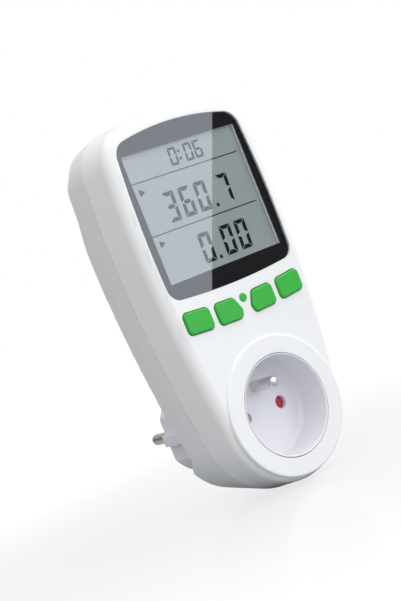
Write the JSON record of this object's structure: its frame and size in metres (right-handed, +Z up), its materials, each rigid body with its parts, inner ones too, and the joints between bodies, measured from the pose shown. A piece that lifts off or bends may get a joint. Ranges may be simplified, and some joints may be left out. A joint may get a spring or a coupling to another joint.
{
  "type": "plug-in energy monitor",
  "caption": "Plug-in energy monitor with a round outlet below, a display window above, a row of green buttons and a keyed plug boss with round pins on the back.",
  "frame": {"origin": "centre of the plug boss's end face, midway between the two plug pins", "axes": "+X to the right seen from the front, +Y towards the wall along the plug pins, +Z up from the outlet to the display"},
  "size_m": [0.077, 0.0821, 0.1555],
  "materials": {
    "white_abs": "gloss moulded",
    "white_nylon": "satin moulded",
    "green_abs": "satin moulded",
    "red_acetal": "satin moulded",
    "clear_acrylic": "polished",
    "black_print": "printed",
    "liquid_crystal": "reflective display",
    "reflector_film": "satin film",
    "grey_rubber": "moulded silicone",
    "nickel_brass": "nickel plated",
    "bare_brass": "stamped",
    "spring_steel": "tempered",
    "bright_steel": "zinc plated",
    "shunt_alloy": "copper manganese alloy",
    "circuit_board": "solder mask over glass epoxy",
    "black_epoxy": "moulded epoxy",
    "yellow_case": "moulded",
    "blue_epoxy": "dipped epoxy",
    "brown_epoxy": "dipped epoxy",
    "cream_nylon": "moulded",
    "grey_ribbon": "extruded",
    "brown_insulation": "extruded",
    "blue_insulation": "extruded"
  },
  "bodies": {
    "case": {"front_shell": "white_abs", "rear_shell": "white_abs", "plug_boss": "white_nylon", "line_pin": "nickel_brass", "neutral_pin": "nickel_brass", "rear_earth_tube": "bare_brass", "upper_earth_clip": "spring_steel", "lower_earth_clip": "spring_steel", "line_wire": "brown_insulation", "neutral_wire": "blue_insulation", "socket_insert": "white_nylon", "earth_pin": "nickel_brass", "earth_rod": "bare_brass", "shutter_spring": "spring_steel", "contact_carrier": "white_nylon", "line_contact": "bare_brass", "neutral_contact": "bare_brass", "display_window": "clear_acrylic", "window_mask": "black_print", "lcd_cell": "liquid_crystal", "lcd_reflector": "reflector_film", "upper_zebra_strip": "grey_rubber", "lower_zebra_strip": "grey_rubber", "lcd_frame": "white_abs", "display_board": "circuit_board", "keypad_mat": "grey_rubber", "display_controller": "black_epoxy", "battery_holder": "black_epoxy", "backup_cell": "bright_steel", "display_header": "cream_nylon", "power_header": "cream_nylon", "ribbon_cable": "grey_ribbon", "power_board": "circuit_board", "film_capacitor": "yellow_case", "electrolytic_capacitor": "black_epoxy", "varistor": "blue_epoxy", "fuse": "brown_epoxy", "metering_chip": "black_epoxy", "crystal": "bright_steel", "current_shunt": "shunt_alloy", "housing_screws": "bright_steel", "board_screws": "bright_steel"},
    "shutter": {"safety_shutter": "red_acetal"},
    "far_left_key": {"far_left_button": "green_abs"},
    "near_left_key": {"near_left_button": "green_abs"},
    "near_right_key": {"near_right_button": "green_abs"},
    "far_right_key": {"far_right_button": "green_abs"},
    "reset_key": {"reset_button": "green_abs"}
  },
  "joints": [
    {"name": "shutter_slide", "type": "slide", "parent": "case", "child": "shutter", "axis": [1, 0, 0], "range_m": [0, 0.0056], "stiffness_N_per_m": 60, "springref_m": -0.003, "deforming": ["shutter_spring"]},
    {"name": "far_left_press", "type": "slide", "parent": "case", "child": "far_left_key", "axis": [0, 1, 0], "range_m": [0, 0.0008], "stiffness_N_per_m": 400, "springref_m": -0.001},
    {"name": "near_left_press", "type": "slide", "parent": "case", "child": "near_left_key", "axis": [0, 1, 0], "range_m": [0, 0.0008], "stiffness_N_per_m": 400, "springref_m": -0.001},
    {"name": "near_right_press", "type": "slide", "parent": "case", "child": "near_right_key", "axis": [0, 1, 0], "range_m": [0, 0.0008], "stiffness_N_per_m": 400, "springref_m": -0.001},
    {"name": "far_right_press", "type": "slide", "parent": "case", "child": "far_right_key", "axis": [0, 1, 0], "range_m": [0, 0.0008], "stiffness_N_per_m": 400, "springref_m": -0.001},
    {"name": "reset_press", "type": "slide", "parent": "case", "child": "reset_key", "axis": [0, 1, 0], "range_m": [0, 0.0006], "stiffness_N_per_m": 400, "springref_m": -0.001}
  ]
}
